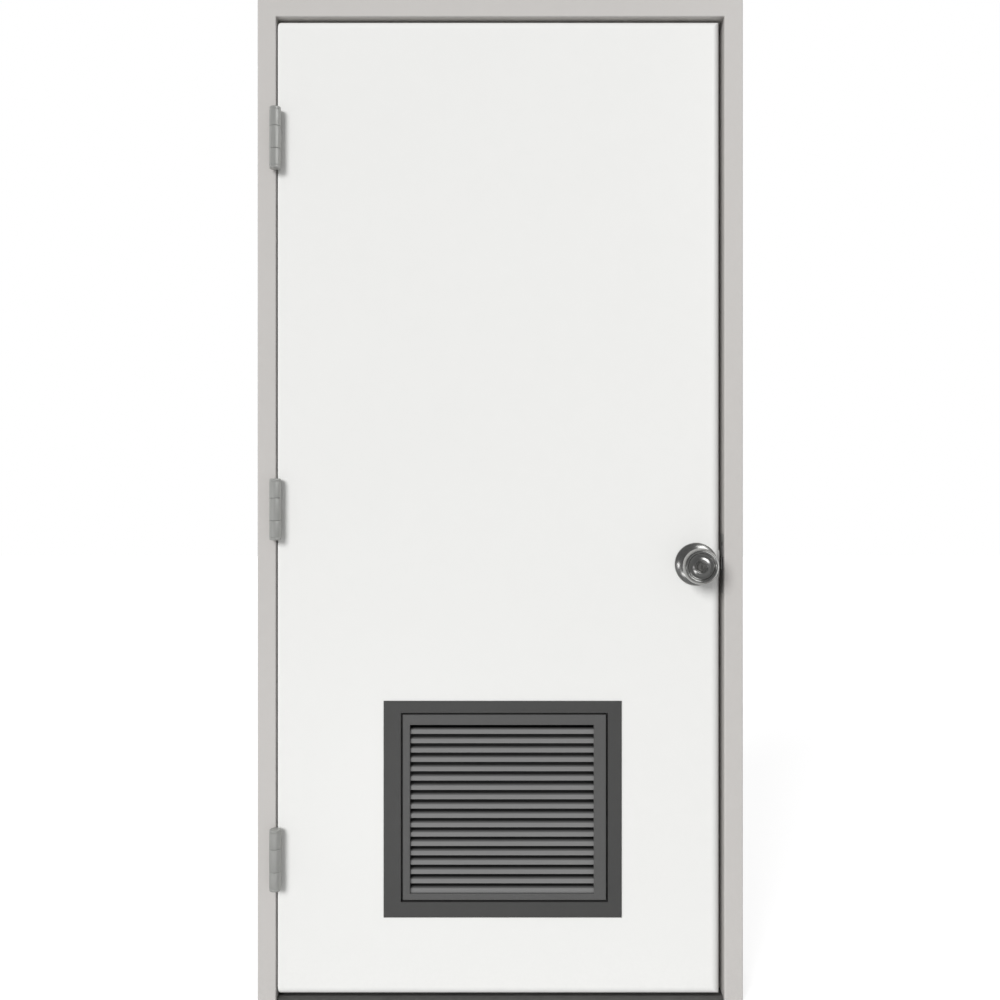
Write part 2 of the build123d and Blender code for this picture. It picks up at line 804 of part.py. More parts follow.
# Floor clips: an angle in the foot of each jamb, with two holes for floor bolts
for place, rabbet, inward in (("hinge", hinge_rabbet, 1), ("strike", strike_rabbet, -1)):
    clip_wall = rabbet + inward * (stop_height - frame_sheet)
    with BuildPart() as floor_clip:
        with BuildSketch(Plane.XZ) as clip_section:
            with BuildLine():
                Polyline(
                    (clip_wall, 0),
                    (clip_wall, clip_height),
                    (clip_wall - inward * clip_sheet, clip_height),
                    (clip_wall - inward * clip_sheet, clip_sheet),
                    (clip_wall - inward * clip_length, clip_sheet),
                    (clip_wall - inward * clip_length, 0),
                    close=True,
                )
            make_face()
        extrude(amount=clip_width / 2, both=True)
        clip_hole_x = clip_wall - inward * (clip_length + clip_sheet) / 2
        with Locations((clip_hole_x, 0, 0)):
            with GridLocations(clip_hole_spacing, 0, 2, 1):
                Cylinder(clip_hole_radius, 2 * punch_depth, mode=Mode.SUBTRACT)
    save(f"{place}_floor_clip", floor_clip.part)
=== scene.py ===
import math

import bpy
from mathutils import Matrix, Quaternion, Vector


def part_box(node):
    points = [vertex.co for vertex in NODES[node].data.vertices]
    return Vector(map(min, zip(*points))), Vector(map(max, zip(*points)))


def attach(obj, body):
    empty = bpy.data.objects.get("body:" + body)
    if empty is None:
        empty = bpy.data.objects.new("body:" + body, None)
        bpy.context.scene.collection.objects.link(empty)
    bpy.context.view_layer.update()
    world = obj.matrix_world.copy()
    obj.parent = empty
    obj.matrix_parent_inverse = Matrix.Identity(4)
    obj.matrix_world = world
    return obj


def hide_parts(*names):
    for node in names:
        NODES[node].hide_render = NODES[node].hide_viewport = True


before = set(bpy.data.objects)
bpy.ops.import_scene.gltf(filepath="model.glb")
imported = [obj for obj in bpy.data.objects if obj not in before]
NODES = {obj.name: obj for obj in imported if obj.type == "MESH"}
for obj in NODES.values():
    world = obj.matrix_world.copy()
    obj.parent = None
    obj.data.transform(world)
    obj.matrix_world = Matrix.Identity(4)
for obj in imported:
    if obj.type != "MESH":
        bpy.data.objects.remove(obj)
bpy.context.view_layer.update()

bl_info = {
    "name": "Prehung Steel Door",
    "version": (1, 0, 0),
    "blender": (4, 5, 0),
    "location": "View3D > Sidebar > Door",
    "description": "Finishes, hinges, lock, louver and fixings of a prehung steel front door",
    "category": "Object",
}

HINGES = ("top", "middle", "bottom")
knob_low, knob_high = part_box("outside_knob")
LOCK = (knob_low + knob_high) / 2
LEAF_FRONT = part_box("leaf_front_skin")[0].y
LEAF_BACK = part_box("leaf_back_skin")[1].y

# Metres, unless said otherwise
MM_PER_M = 1000
PEEL_HEIGHT = 0.0001
SLOT_SHADE_FLOOR = 0.015  # painted shade: share of the coat's tone left deep in a slot
SLOT_SHADE_START = 0.0003
SLOT_SHADE_DEPTH = 0.0085
SCREW_TURN = 37.0  # degrees from one screw's recess to the next
SCREW_FIRST_TURN = 11.0
BARREL_CLEARANCE = 0.0006
PLATE_EDGE = 0.0003
TONGUE_LAP = 0.0004
HINGE_SCREW_SINK = 0.0002
COUNTERSINK_DEPTH = 0.0026
LOUVER_SCREW_INSET = 0.012
STRIKE_SCREW_SHIFT = 0.041
FACE_SCREW_SHIFT = 0.0205
FACE_SCREW_SINK = 0.0010
BUTTON_EDGE = 0.0016

PATTERN_OUTPUTS = (("Colour", "NodeSocketColor"), ("Roughness", "NodeSocketFloat"),
                   ("Height", "NodeSocketFloat"))


class DoorSizes(bpy.types.PropertyGroup):
    """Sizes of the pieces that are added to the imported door."""

    hinge_gap: bpy.props.FloatProperty(
        name="Hinge gap", description="Gap between jamb and leaf on the hinge side",
        default=0.0020, unit="LENGTH")
    hinge_plate: bpy.props.FloatProperty(
        name="Hinge plate", description="Thickness of a hinge plate",
        default=0.0034, unit="LENGTH")
    middle_knuckle: bpy.props.FloatProperty(
        name="Middle knuckle", description="Height of the knuckle on the leaf's plate",
        default=0.046, unit="LENGTH")
    knuckle_gap: bpy.props.FloatProperty(
        name="Knuckle gap", description="Gap between two knuckles",
        default=0.0004, unit="LENGTH")
    knuckle_edge: bpy.props.FloatProperty(
        name="Knuckle edge", description="Rounding on the ends of a knuckle",
        default=0.0008, unit="LENGTH")
    screw_radius: bpy.props.FloatProperty(
        name="Screw head", description="Radius of a countersunk screw head",
        default=0.0046, unit="LENGTH")
    lens: bpy.props.FloatProperty(
        name="Lens", description="Focal length of the camera", default=38.45, unit="CAMERA")
    camera_distance: bpy.props.FloatProperty(
        name="Camera distance", description="From the camera to the face of the frame",
        default=2.2, unit="LENGTH")
    camera_height: bpy.props.FloatProperty(
        name="Camera height", description="Height of the camera above the floor",
        default=1.0889, unit="LENGTH")


def colour_property(name, description, default):
    return bpy.props.FloatVectorProperty(
        name=name, description=description, default=default, subtype="COLOR", size=3,
        min=0.0, max=1.0)


class DoorColours(bpy.types.PropertyGroup):
    """Colours of the finishes."""

    frame_grey: colour_property("Frame grey", "Primer on the pressed frame", (0.584, 0.565, 0.546))
    leaf_white: colour_property("Leaf white", "Enamel on the leaf", (0.863, 0.863, 0.847))
    flange_grey: colour_property(
        "Flange grey", "Powder coat on the louver's flanges", (0.064, 0.064, 0.063))
    insert_grey: colour_property(
        "Insert grey", "Powder coat on the louver's insert", (0.100, 0.100, 0.099))
    blade_grey: colour_property(
        "Blade grey", "Powder coat on the louver's blades", (0.220, 0.220, 0.219))
    hinge_grey: colour_property("Hinge grey", "Satin steel of the hinges", (0.470, 0.475, 0.457))
    lock_satin: colour_property(
        "Lock satin", "Satin chrome of the knobs and roses", (0.430, 0.430, 0.420))
    plug_nickel: colour_property("Plug nickel", "Nickel of the key cylinder", (0.460, 0.455, 0.440))
    plain_steel: colour_property(
        "Plain steel", "Steel of the lock and the screws", (0.500, 0.495, 0.485))
    zinc_grey: colour_property(
        "Zinc grey", "Galvanised plates inside the frame", (0.560, 0.575, 0.585))
    bronze: colour_property("Bronze", "Dark anodised threshold", (0.150, 0.147, 0.142))
    rubber: colour_property("Rubber", "Grey bulb seals", (0.120, 0.120, 0.118))
    kraft: colour_property("Kraft", "Paper honeycomb in the leaf", (0.420, 0.290, 0.170))


def sizes():
    return bpy.context.scene.door_sizes


def colours():
    return bpy.context.scene.door_colours


# Shader node groups


def node_group(name, inputs, outputs):
    """An empty shader group with its sockets, and its two end nodes."""
    group = bpy.data.node_groups.new(name, "ShaderNodeTree")
    for label, kind, value in inputs:
        socket = group.interface.new_socket(label, in_out="INPUT", socket_type=kind)
        socket.default_value = value
    for label, kind in outputs:
        group.interface.new_socket(label, in_out="OUTPUT", socket_type=kind)
    return group, group.nodes.new("NodeGroupInput"), group.nodes.new("NodeGroupOutput")


def noise(tree, vector, scale, detail=2.0, roughness=0.5):
    node = tree.nodes.new("ShaderNodeTexNoise")
    node.inputs["Detail"].default_value = detail
    node.inputs["Roughness"].default_value = roughness
    tree.links.new(vector, node.inputs["Vector"])
    if isinstance(scale, bpy.types.NodeSocket):
        tree.links.new(scale, node.inputs["Scale"])
    else:
        node.inputs["Scale"].default_value = scale
    return node.outputs["Fac"]


def remap(tree, value, low, high, from_low=0.3, from_high=0.7):
    node = tree.nodes.new("ShaderNodeMapRange")
    node.inputs["From Min"].default_value = from_low
    node.inputs["From Max"].default_value = from_high
    tree.links.new(value, node.inputs["Value"])
    for label, end in (("To Min", low), ("To Max", high)):
        if isinstance(end, bpy.types.NodeSocket):
            tree.links.new(end, node.inputs[label])
        else:
            node.inputs[label].default_value = end
    return node.outputs["Result"]


def combine(tree, operation, first, second):
    node = tree.nodes.new("ShaderNodeMath")
    node.operation = operation
    for socket, value in zip(node.inputs, (first, second)):
        if isinstance(value, bpy.types.NodeSocket):
            tree.links.new(value, socket)
        else:
            socket.default_value = value
    return node.outputs["Value"]


def tint(tree, colour, tone):
    """A colour socket times a grey tone."""
    node = tree.nodes.new("ShaderNodeVectorMath")
    node.operation = "SCALE"
    tree.links.new(colour, node.inputs[0])
    tree.links.new(tone, node.inputs["Scale"])
    return node.outputs["Vector"]


def stretched(tree, vector, scale):
    node = tree.nodes.new("ShaderNodeVectorMath")
    node.operation = "MULTIPLY"
    tree.links.new(vector, node.inputs[0])
    tree.links.new(scale, node.inputs[1])
    return node.outputs["Vector"]


def make_sprayed_coat():
    """Sprayed paint: orange peel, faint clouds in the tone and dust near the floor."""
    group, start, end = node_group(
        "Sprayed coat",
        [("Vector", "NodeSocketVector", (0, 0, 0)),
         ("Colour", "NodeSocketColor", (0.8, 0.8, 0.8, 1)),
         ("Gloss", "NodeSocketFloat", 0.4), ("Peel", "NodeSocketFloat", 420.0),
         ("Clouds", "NodeSocketFloat", 0.02), ("Dust", "NodeSocketFloat", 0.05)],
        PATTERN_OUTPUTS)
    vector = start.outputs["Vector"]
    clouds = noise(group, vector, 2.3, 3.0)
    fine = noise(group, vector, 38.0, 2.0)
    low = combine(group, "SUBTRACT", 1.0, start.outputs["Clouds"])
    tone = remap(group, combine(group, "ADD", combine(group, "MULTIPLY", clouds, 0.75),
                                combine(group, "MULTIPLY", fine, 0.25)), low, 1.0)
    split = group.nodes.new("ShaderNodeSeparateXYZ")
    group.links.new(vector, split.inputs["Vector"])
    near_floor = remap(group, split.outputs["Z"], 1.0, 0.0, 0.0, 0.16)
    specks = remap(group, noise(group, vector, 160.0, 4.0, 0.6), 0.0, 1.0, 0.35, 0.75)
    dust = combine(group, "MULTIPLY", combine(group, "MULTIPLY", near_floor, specks),
                   start.outputs["Dust"])
    tone = combine(group, "SUBTRACT", tone, dust)
    group.links.new(tint(group, start.outputs["Colour"], tone), end.inputs["Colour"])
    rough = combine(group, "ADD", start.outputs["Gloss"], remap(group, fine, -0.05, 0.05))
    group.links.new(combine(group, "ADD", rough, dust), end.inputs["Roughness"])
    peel = noise(group, vector, start.outputs["Peel"], 1.5, 0.45)
    group.links.new(combine(group, "ADD", peel, combine(group, "MULTIPLY", clouds, 0.6)),
                    end.inputs["Height"])
    return group


def make_drawn_grain():
    """Brushed or drawn metal: fine scratches along the direction that is stretched least."""
    group, start, end = node_group(
        "Drawn grain",
        [("Vector", "NodeSocketVector", (0, 0, 0)),
         ("Colour", "NodeSocketColor", (0.5, 0.5, 0.5, 1)),
         ("Stretch", "NodeSocketVector", (1, 1, 1)), ("Gloss", "NodeSocketFloat", 0.3),
         ("Depth", "NodeSocketFloat", 0.12)],
        PATTERN_OUTPUTS)
    along = stretched(group, start.outputs["Vector"], start.outputs["Stretch"])
    grain = noise(group, along, 1.0, 5.0, 0.62)
    smear = noise(group, start.outputs["Vector"], 26.0, 3.0)
    low = combine(group, "SUBTRACT", 1.0, start.outputs["Depth"])
    tone = remap(group, combine(group, "ADD", combine(group, "MULTIPLY", grain, 0.6),
                                combine(group, "MULTIPLY", smear, 0.4)), low, 1.04)
    group.links.new(tint(group, start.outputs["Colour"], tone), end.inputs["Colour"])
    spread = combine(group, "ADD", remap(group, grain, -0.05, 0.06),
                     remap(group, smear, -0.04, 0.05))
    group.links.new(combine(group, "ADD", start.outputs["Gloss"], spread), end.inputs["Roughness"])
    group.links.new(grain, end.inputs["Height"])
    return group


def group_named(name, maker):
    return bpy.data.node_groups.get(name) or maker()


# Materials


def start_material(name):
    """A material with its shader, and object coordinates to draw patterns on."""
    material = bpy.data.materials.new(name)
    material.use_nodes = True
    tree = material.node_tree
    coordinates = tree.nodes.new("ShaderNodeTexCoord")
    return material, tree, tree.nodes["Principled BSDF"], coordinates.outputs["Object"]


def emboss(tree, shader, height, distance, strength):
    bump = tree.nodes.new("ShaderNodeBump")
    bump.inputs["Distance"].default_value = distance
    bump.inputs["Strength"].default_value = strength
    tree.links.new(height, bump.inputs["Height"])
    tree.links.new(bump.outputs["Normal"], shader.inputs["Normal"])


def place_group(tree, group, vector, values):
    node = tree.nodes.new("ShaderNodeGroup")
    node.node_tree = group
    tree.links.new(vector, node.inputs["Vector"])
    for label, value in values.items():
        node.inputs[label].default_value = value
    return node


def painted_slot_shade(tree, vector, front, back):
    """Painted shade: a tone that falls from 1 at the two faces of a slot to nearly nothing deep in
    it.
    """
    split = tree.nodes.new("ShaderNodeSeparateXYZ")
    tree.links.new(vector, split.inputs["Vector"])
    depth = split.outputs["Y"]
    from_front = remap(tree, depth, 1.0, SLOT_SHADE_FLOOR, front + SLOT_SHADE_START, front + SLOT_SHADE_DEPTH)
    from_back = remap(tree, depth, SLOT_SHADE_FLOOR, 1.0, back - SLOT_SHADE_DEPTH, back - SLOT_SHADE_START)
    return combine(tree, "MAXIMUM", from_front, from_back)


def coat(name, colour, gloss, peel, clouds, dust, strength, specular=0.5, slot=None):
    """A sprayed, powder-coated or moulded skin.

    Inside a slot, which is given by the places of its two faces, it is darkened by painted shade."""
    made = bpy.data.materials.get(name)
    if made:
        return made
    material, tree, shader, vector = start_material(name)
    node = place_group(tree, group_named("Sprayed coat", make_sprayed_coat), vector,
                       {"Colour": (*colour, 1.0), "Gloss": gloss, "Peel": peel,
                        "Clouds": clouds, "Dust": dust})
    shade = node.outputs["Colour"]
    if slot:
        # painted shade, darker with depth into the slot
        shade = tint(tree, shade, painted_slot_shade(tree, vector, *slot))
    tree.links.new(shade, shader.inputs["Base Color"])
    tree.links.new(node.outputs["Roughness"], shader.inputs["Roughness"])
    emboss(tree, shader, node.outputs["Height"], PEEL_HEIGHT, strength)
    shader.inputs["Specular IOR Level"].default_value = specular
    return material


def metal(name, colour, gloss, stretch, depth, bump=0.00003, strength=0.3, metallic=1.0,
          rings=False):
    """Brushed, drawn or turned metal. Rings are turning marks round the lock's axis."""
    made = bpy.data.materials.get(name)
    if made:
        return made
    material, tree, shader, vector = start_material(name)
    if rings:
        centre = tree.nodes.new("ShaderNodeVectorMath")
        centre.operation = "SUBTRACT"
        centre.inputs[1].default_value = LOCK
        tree.links.new(vector, centre.inputs[0])
        flat = tree.nodes.new("ShaderNodeVectorMath")
        flat.operation = "MULTIPLY"
        flat.inputs[1].default_value = (1.0, 0.0, 1.0)
        tree.links.new(centre.outputs["Vector"], flat.inputs[0])
        radius = tree.nodes.new("ShaderNodeVectorMath")
        radius.operation = "LENGTH"
        tree.links.new(flat.outputs["Vector"], radius.inputs[0])
        split = tree.nodes.new("ShaderNodeSeparateXYZ")
        tree.links.new(centre.outputs["Vector"], split.inputs["Vector"])
        join = tree.nodes.new("ShaderNodeCombineXYZ")
        tree.links.new(radius.outputs["Value"], join.inputs["X"])
        tree.links.new(split.outputs["Y"], join.inputs["Y"])
        vector = join.outputs["Vector"]
    node = place_group(tree, group_named("Drawn grain", make_drawn_grain), vector,
                       {"Colour": (*colour, 1.0), "Stretch": stretch, "Gloss": gloss,
                        "Depth": depth})
    tree.links.new(node.outputs["Colour"], shader.inputs["Base Color"])
    tree.links.new(node.outputs["Roughness"], shader.inputs["Roughness"])
    emboss(tree, shader, node.outputs["Height"], bump, strength)
    shader.inputs["Metallic"].default_value = metallic
    return material


def spangled_zinc():
    """Hot-dip zinc with its crystal flakes."""
    made = bpy.data.materials.get("galvanised_zinc")
    if made:
        return made
    material, tree, shader, vector = start_material("galvanised_zinc")
    flakes = tree.nodes.new("ShaderNodeTexVoronoi")
    flakes.inputs["Scale"].default_value = 95.0
    tree.links.new(vector, flakes.inputs["Vector"])
    grey = tree.nodes.new("ShaderNodeSeparateColor")
    tree.links.new(flakes.outputs["Color"], grey.inputs["Color"])
    flake = grey.outputs["Red"]
    node = place_group(tree, group_named("Drawn grain", make_drawn_grain), vector,
                       {"Colour": (*colours().zinc_grey, 1.0), "Stretch": (60, 60, 60),
                        "Gloss": 0.4, "Depth": 0.18})
    tone = remap(tree, flake, 0.78, 1.05, 0.0, 1.0)
    tree.links.new(tint(tree, node.outputs["Colour"], tone), shader.inputs["Base Color"])
    rough = combine(tree, "ADD", node.outputs["Roughness"],
                    remap(tree, flake, -0.08, 0.1, 0.0, 1.0))
    tree.links.new(rough, shader.inputs["Roughness"])
    emboss(tree, shader, flake, 0.00002, 0.2)
    shader.inputs["Metallic"].default_value = 0.9
    return material


def kraft_honeycomb():
    """Paper honeycomb: cells seen end on through the leaf, with painted shade in the middles of the
    open cells.
    """
    made = bpy.data.materials.get("kraft_paper_cells")
    if made:
        return made
    material, tree, shader, vector = start_material("kraft_paper_cells")
    cells = tree.nodes.new("ShaderNodeTexVoronoi")
    cells.feature = "DISTANCE_TO_EDGE"
    cells.inputs["Scale"].default_value = 40.0
    cells.inputs["Randomness"].default_value = 0.15
    tree.links.new(vector, cells.inputs["Vector"])
    # painted shade: the cell middles are darker than the paper walls
    wall = remap(tree, cells.outputs["Distance"], 1.0, 0.45, 0.0, 0.12)
    node = place_group(tree, group_named("Sprayed coat", make_sprayed_coat), vector,
                       {"Colour": (*colours().kraft, 1.0), "Gloss": 0.85, "Peel": 700.0,
                        "Clouds": 0.2, "Dust": 0.0})
    tree.links.new(tint(tree, node.outputs["Colour"], wall), shader.inputs["Base Color"])
    tree.links.new(node.outputs["Roughness"], shader.inputs["Roughness"])
    emboss(tree, shader, wall, 0.0006, 0.5)
    return material


def frame_paint():
    return coat("frame_primer", colours().frame_grey, 0.46, peel=520.0, clouds=0.03, dust=0.06,
                strength=0.22)


def leaf_paint():
    return coat("leaf_enamel", colours().leaf_white, 0.40, peel=430.0, clouds=0.012, dust=0.03,
                strength=0.18)


def seal_rubber():
    return coat("seal_rubber_skin", colours().rubber, 0.68, peel=900.0, clouds=0.15, dust=0.1,
                strength=0.35, specular=0.35)


def hinge_steel():
    return metal("hinge_satin_steel", colours().hinge_grey, 0.47, (900, 900, 30), depth=0.10,
                 metallic=0.5)


def lock_satin():
    return metal("lock_satin_chrome", colours().lock_satin, 0.20, (2600, 2600, 1), depth=0.12,
                 rings=True)


def plain_steel():
    return metal("lock_plain_steel", colours().plain_steel, 0.30, (700, 700, 60), depth=0.15)


def plated_steel():
    return metal("lock_plated_steel", colours().plain_steel, 0.46, (700, 700, 60), depth=0.15,
                 metallic=0.3)


def paint_nodes(material, *names):
    """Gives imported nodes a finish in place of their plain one."""
    for name in names:
        mesh = NODES[name].data
        if not mesh.materials:
            mesh.materials.append(material)
        for index in range(len(mesh.materials)):
            mesh.materials[index] = material


# Modelling helpers


def clear_selection():
    active = bpy.context.view_layer.objects.active
    if active and active.mode != "OBJECT":
        bpy.ops.object.mode_set(mode="OBJECT")
    bpy.ops.object.select_all(action="DESELECT")


def make_active(piece):
    clear_selection()
    piece.select_set(True)
    bpy.context.view_layer.objects.active = piece


def settle(name):
    """Names the new piece and puts its place into its mesh."""
    piece = bpy.context.object
    piece.name = name
    piece.data.name = name
    bpy.ops.object.transform_apply(location=True, rotation=True, scale=True)
    return piece


def block(name, low, high):
    clear_selection()
    low, high = Vector(low), Vector(high)
    bpy.ops.mesh.primitive_cube_add(size=1.0, location=(low + high) / 2, scale=high - low)
    return settle(name)


def rod(name, centre, radius, length):
    """An upright round rod."""
    clear_selection()
    bpy.ops.mesh.primitive_cylinder_add(vertices=64, radius=radius, depth=length, location=centre)
    return settle(name)


def apply_modifier(piece, kind, **values):
    make_active(piece)
    bpy.ops.object.modifier_add(type=kind)
    modifier = piece.modifiers[-1]
    for label, value in values.items():
        setattr(modifier, label, value)
    bpy.ops.object.modifier_apply(modifier=modifier.name)
    return piece


def select_faces(piece, wanted):
    """Selects the faces whose middle and normal pass a test, in edit mode."""
    make_active(piece)
    bpy.ops.object.mode_set(mode="EDIT")
    bpy.ops.mesh.select_mode(type="FACE")
    bpy.ops.mesh.select_all(action="DESELECT")
    bpy.ops.object.mode_set(mode="OBJECT")
    for face in piece.data.polygons:
        face.select = wanted(face.center, face.normal)
    bpy.ops.object.mode_set(mode="EDIT")


def ease_edges(piece, width, segments=2, angle=30.0):
    return apply_modifier(piece, "BEVEL", width=width, segments=segments, limit_method="ANGLE",
                          angle_limit=math.radians(angle))


def countersink(plate, place, direction, radius, depth):
    """Sinks a cone into a plate, wide end at the place."""
    clear_selection()
    along = Vector(direction)
    bpy.ops.mesh.primitive_cone_add(
        vertices=32, radius1=radius * 0.45, radius2=radius * 1.2, depth=depth * 1.4,
        location=Vector(place) - along * depth * 0.3,
        rotation=along.to_track_quat("Z", "Y").to_euler())
    return cut_away(plate, settle("countersink"))


def cut_away(piece, cutter):
    apply_modifier(piece, "BOOLEAN", operation="DIFFERENCE", object=cutter, solver="EXACT")
    bpy.data.objects.remove(cutter, do_unlink=True)
    return piece


def join_pieces(name, pieces):
    clear_selection()
    for piece in pieces:
        piece.select_set(True)
    bpy.context.view_layer.objects.active = pieces[0]
    if len(pieces) > 1:
        bpy.ops.object.join()
    joined = bpy.context.view_layer.objects.active
    joined.name = name
    joined.data.name = name
    return joined


def soften(piece, angle=32.0):
    make_active(piece)
    bpy.ops.object.shade_smooth_by_angle(angle=math.radians(angle))
    return piece


def draw_profile(name, points):
    """A line of vertices, drawn by extruding one vertex from point to point."""
    clear_selection()
    bpy.ops.mesh.primitive_plane_add(size=0.001, location=points[0])
    piece = settle(name)
    bpy.ops.object.mode_set(mode="EDIT")
    bpy.ops.mesh.select_all(action="SELECT")
    bpy.ops.mesh.merge(type="CENTER")
    for here, there in zip(points, points[1:]):
        step = Vector(there) - Vector(here)
        bpy.ops.mesh.extrude_vertices_move(TRANSFORM_OT_translate={"value": step})
    return piece


def arc(first, through, last, count):
    """Points on the circle through three points, from the first to the last."""
    (ax, ay), (bx, by), (cx, cy) = first, through, last
    twice = 2 * (ax * (by - cy) + bx * (cy - ay) + cx * (ay - by))
    a, b, c = (x * x + y * y for x, y in (first, through, last))
    middle_x = (a * (by - cy) + b * (cy - ay) + c * (ay - by)) / twice
    middle_y = (a * (cx - bx) + b * (ax - cx) + c * (bx - ax)) / twice
    radius = math.hypot(ax - middle_x, ay - middle_y)
    start, via, end = (math.atan2(y - middle_y, x - middle_x) for x, y in (first, through, last))
    sweep = (end - start) % math.tau
    if (via - start) % math.tau > sweep:
        sweep -= math.tau
    angles = [start + sweep * step / (count - 1) for step in range(count)]
    return [(middle_x + radius * math.cos(angle), middle_y + radius * math.sin(angle))
            for angle in angles]


def turned(name, profile, centre, axis, steps=64, smooth_levels=1):
    """A profile of (radius, distance along the axis), spun round the axis."""
    along = Vector(axis)
    across = Vector((1, 0, 0))
    centre = Vector(centre)
    points = [centre + across * radius + along * distance for radius, distance in profile]
    piece = draw_profile(name, points)
    bpy.ops.mesh.select_all(action="SELECT")
    bpy.ops.mesh.spin(steps=steps, angle=2 * math.pi, center=centre, axis=axis)
    bpy.ops.mesh.select_all(action="SELECT")
    bpy.ops.mesh.remove_doubles(threshold=0.000002)
    bpy.ops.mesh.normals_make_consistent(inside=False)
    bpy.ops.object.mode_set(mode="OBJECT")
    if smooth_levels:
        apply_modifier(piece, "SUBSURF", levels=smooth_levels, render_levels=smooth_levels)
    return piece


def finish_piece(piece, material, slot, body, *replaced):
    """Gives a new piece its finish and the body that it moves with; its slot is not used."""
    piece.data.materials.clear()
    piece.data.materials.append(material)
    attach(piece, body)
    if replaced:
        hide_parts(*replaced)
    return piece


def make_screw(name):
    """One countersunk screw head with a cross recess, at the origin, facing up."""
    radius = sizes().screw_radius
    profile = [(0.0, 0.00045), (radius * 0.45, 0.0004), (radius * 0.85, 0.0002),
               (radius, -0.0001), (radius * 0.97, -0.0004), (radius * 0.5, -0.0026),
               (0.0, -0.0026)]
    head = turned(name, profile, (0, 0, 0), (0, 0, 1), steps=24, smooth_levels=0)
    for width, height in ((radius * 1.15, radius * 0.26), (radius * 0.26, radius * 1.15)):
        recess = block("recess", (-width / 2, -height / 2, -0.0014),
                       (width / 2, height / 2, 0.002))
        cut_away(head, recess)
    return soften(head, 28.0)


def screws_at(name, places, direction, slot, body):
    """Copies of the screw head set at places that face one way, as one piece."""
    turn = Vector(direction).to_track_quat("Z", "Y")
    master = make_screw(name + "_head")
    copies = []
    for index, place in enumerate(places):
        make_active(master)
        bpy.ops.object.duplicate(linked=False)
        copy = bpy.context.object
        copy.rotation_mode = "QUATERNION"
        spin = math.radians(SCREW_TURN * index + SCREW_FIRST_TURN)
        copy.rotation_quaternion = turn @ Quaternion((0, 0, 1), spin)
        copy.location = place
        bpy.ops.object.transform_apply(location=True, rotation=True, scale=True)
        copies.append(copy)
    bpy.data.objects.remove(master, do_unlink=True)
    return finish_piece(join_pieces(name, copies), plain_steel(), slot, body)


# Operators, one for each group of pieces


class DOOR_OT_frame(bpy.types.Operator):
    """Paints the pressed frame and the plates inside it"""

    bl_idname = "door.frame"
    bl_label = "Frame"

    def execute(self, context):
        paint_nodes(frame_paint(), "hinge_jamb", "strike_jamb", "head")
        paint_nodes(spangled_zinc(), "hinge_reinforcements", "hinge_floor_clip",
                    "strike_floor_clip", "strike_box")
        return {"FINISHED"}


class DOOR_OT_leaf(bpy.types.Operator):
    """Paints the leaf's skins and core"""

    bl_idname = "door.leaf"
    bl_label = "Leaf"

    def execute(self, context):
        paint_nodes(leaf_paint(), "leaf_front_skin", "leaf_back_skin")
        paint_nodes(kraft_honeycomb(), "leaf_core")
        return {"FINISHED"}


